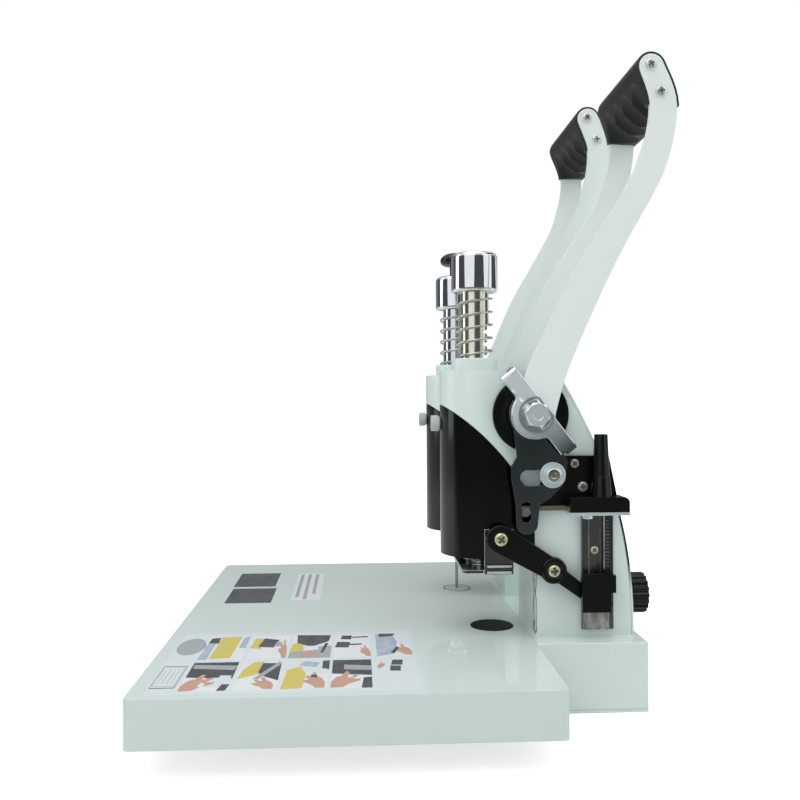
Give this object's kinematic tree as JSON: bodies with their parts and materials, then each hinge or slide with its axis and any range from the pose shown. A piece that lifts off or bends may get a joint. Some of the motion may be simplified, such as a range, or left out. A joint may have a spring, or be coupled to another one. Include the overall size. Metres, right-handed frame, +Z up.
{
  "type": "binding machine",
  "caption": "Manual desk binding machine with a drilling head and a riveting head on a table, each pulled down by its own long handle, with a tube cutter on one side.",
  "frame": {"origin": "on the floor, in the middle of the rear base under the columns", "axes": "+X to the operator's right, +Y to the rear, +Z up; the operator stands at -Y"},
  "size_m": [0.4, 0.3639, 0.4682],
  "materials": {
    "white_paint": "smooth gloss paint",
    "white_plastic": "knurled",
    "black_plastic": "satin",
    "black_rubber": "matt",
    "bright_zinc": "bright zinc plate",
    "yellow_zinc": "yellow zinc plate",
    "dark_zinc": "dark blue zinc plate",
    "chrome": "polished",
    "steel": "machined"
  },
  "bodies": {
    "frame": {"table_top": "white_paint", "rear_base": "white_paint", "chassis": "steel", "rubber_feet": "black_rubber", "drill_frame": "white_paint", "rivet_frame": "white_paint", "drill_rear_cover": "white_paint", "rivet_rear_cover": "white_paint", "drill_cover": "black_plastic", "rivet_cover": "black_plastic", "drill_collar": "white_paint", "rivet_collar": "white_paint", "drill_hubs": "black_plastic", "rivet_hubs": "black_plastic", "rivet_die": "steel", "cutter_bracket": "black_plastic", "rocker_bolt": "bright_zinc", "side_screws": "yellow_zinc", "tube_guide": "black_plastic", "cutter_shelf": "black_plastic", "cutter_plate": "bright_zinc", "length_rail": "steel", "drill_spring": "bright_zinc", "rivet_spring": "bright_zinc"},
    "drill_handle": {"drill_arms": "white_paint", "drill_grip": "black_plastic", "drill_grip_screws": "bright_zinc", "drill_shaft": "steel", "wing_lever": "bright_zinc", "shaft_bolt": "bright_zinc"},
    "drill_ram": {"drill_ram": "yellow_zinc", "drill_cap": "chrome", "drill_carriage": "steel", "drill_motor": "steel", "presser_springs": "bright_zinc"},
    "drill_spindle": {"drill_chuck": "steel", "hollow_drill": "steel"},
    "presser": {"presser_plate": "bright_zinc", "presser_rods": "bright_zinc"},
    "link_arm": {"link_arm": "black_plastic", "link_screw": "yellow_zinc"},
    "length_slider": {"slider_block": "black_plastic"},
    "cutter_rocker": {"cutter_rocker": "dark_zinc"},
    "cutter_blade": {"cutter_blade": "bright_zinc"},
    "rivet_handle": {"rivet_arms": "white_paint", "rivet_grip": "black_plastic", "rivet_grip_screws": "bright_zinc", "rivet_shaft": "steel"},
    "rivet_ram": {"rivet_ram": "steel", "rivet_cap": "chrome", "heater_block": "steel", "upper_die": "steel"},
    "ejector": {"ejector_knob": "black_plastic"},
    "locating_pin": {"locating_pin": "chrome"},
    "drill_pad": {"drill_pad": "black_rubber"},
    "trim_knob": {"trim_knob": "black_plastic"},
    "drill_hand_screw": {"drill_hand_screw": "white_plastic"},
    "rivet_hand_screw": {"rivet_hand_screw": "white_plastic"}
  },
  "joints": [
    {"name": "drill_handle_pull", "type": "hinge", "parent": "frame", "child": "drill_handle", "pos_m": [0.053, -0.04, 0.209], "axis": [1, 0, 0], "range_deg": [0, 92.4]},
    {"name": "drill_ram_slide", "type": "slide", "parent": "frame", "child": "drill_ram", "axis": [0, 0, -1], "range_m": [0, 0.046], "stiffness_N_per_m": 700, "springref_m": -0.07, "deforming": ["drill_spring"]},
    {"name": "presser_float", "type": "slide", "parent": "drill_ram", "child": "presser", "axis": [0, 0, 1], "range_m": [0, 0.0021], "deforming": ["presser_springs"]},
    {"name": "drill_spin", "type": "hinge", "parent": "drill_ram", "child": "drill_spindle", "pos_m": [0.053, -0.0755, 0.107], "axis": [0, 0, 1], "continuous": true},
    {"name": "link_swing", "type": "hinge", "parent": "frame", "child": "link_arm", "pos_m": [0.091, -0.0252, 0.0977], "axis": [1, 0, 0], "range_deg": [0, 60]},
    {"name": "length_slide", "type": "slide", "parent": "frame", "child": "length_slider", "axis": [0, 0, 1], "range_m": [0, 0.03]},
    {"name": "rocker_swing", "type": "hinge", "parent": "frame", "child": "cutter_rocker", "pos_m": [0.0935, -0.04, 0.209], "axis": [1, 0, 0], "range_deg": [0, 14.2]},
    {"name": "blade_slide", "type": "slide", "parent": "frame", "child": "cutter_blade", "axis": [0, 1, 0], "range_m": [0, 0.0172]},
    {"name": "rivet_handle_pull", "type": "hinge", "parent": "frame", "child": "rivet_handle", "pos_m": [-0.073, -0.04, 0.209], "axis": [1, 0, 0], "range_deg": [0, 92.4]},
    {"name": "rivet_ram_slide", "type": "slide", "parent": "frame", "child": "rivet_ram", "axis": [0, 0, -1], "range_m": [0, 0.046], "stiffness_N_per_m": 700, "springref_m": -0.07, "deforming": ["rivet_spring"]},
    {"name": "ejector_push", "type": "slide", "parent": "rivet_ram", "child": "ejector", "axis": [0, 0, -1], "range_m": [0, 0.009], "stiffness_N_per_m": 400, "springref_m": -0.008},
    {"name": "locating_pin_push", "type": "slide", "parent": "frame", "child": "locating_pin", "axis": [0, 0, -1], "range_m": [0, 0.03], "stiffness_N_per_m": 120, "springref_m": -0.012},
    {"name": "drill_pad_turn", "type": "hinge", "parent": "frame", "child": "drill_pad", "pos_m": [0.053, -0.0635, 0.047], "axis": [0, 0, 1], "continuous": true},
    {"name": "trim_knob_turn", "type": "hinge", "parent": "frame", "child": "trim_knob", "pos_m": [0.06, 0.045, 0.074], "axis": [0, 1, 0], "continuous": true},
    {"name": "drill_hand_screw_turn", "type": "hinge", "parent": "frame", "child": "drill_hand_screw", "pos_m": [0.053, -0.105, 0.202], "axis": [0, 1, 0], "continuous": true},
    {"name": "rivet_hand_screw_turn", "type": "hinge", "parent": "frame", "child": "rivet_hand_screw", "pos_m": [-0.073, -0.105, 0.202], "axis": [0, 1, 0], "continuous": true}
  ],
  "couplings": [
    {"joint": "drill_ram_slide", "follows": "drill_handle_pull", "m_per_rad": 0.0285},
    {"joint": "presser_float", "follows": "drill_handle_pull", "m_per_rad": 0.00124},
    {"joint": "link_swing", "follows": "drill_handle_pull", "ratio": 0.64656},
    {"joint": "length_slide", "follows": "drill_handle_pull", "m_per_rad": 0.018392},
    {"joint": "rocker_swing", "follows": "drill_handle_pull", "ratio": 0.15152},
    {"joint": "blade_slide", "follows": "drill_handle_pull", "m_per_rad": 0.010604},
    {"joint": "rivet_ram_slide", "follows": "rivet_handle_pull", "m_per_rad": 0.0285}
  ]
}
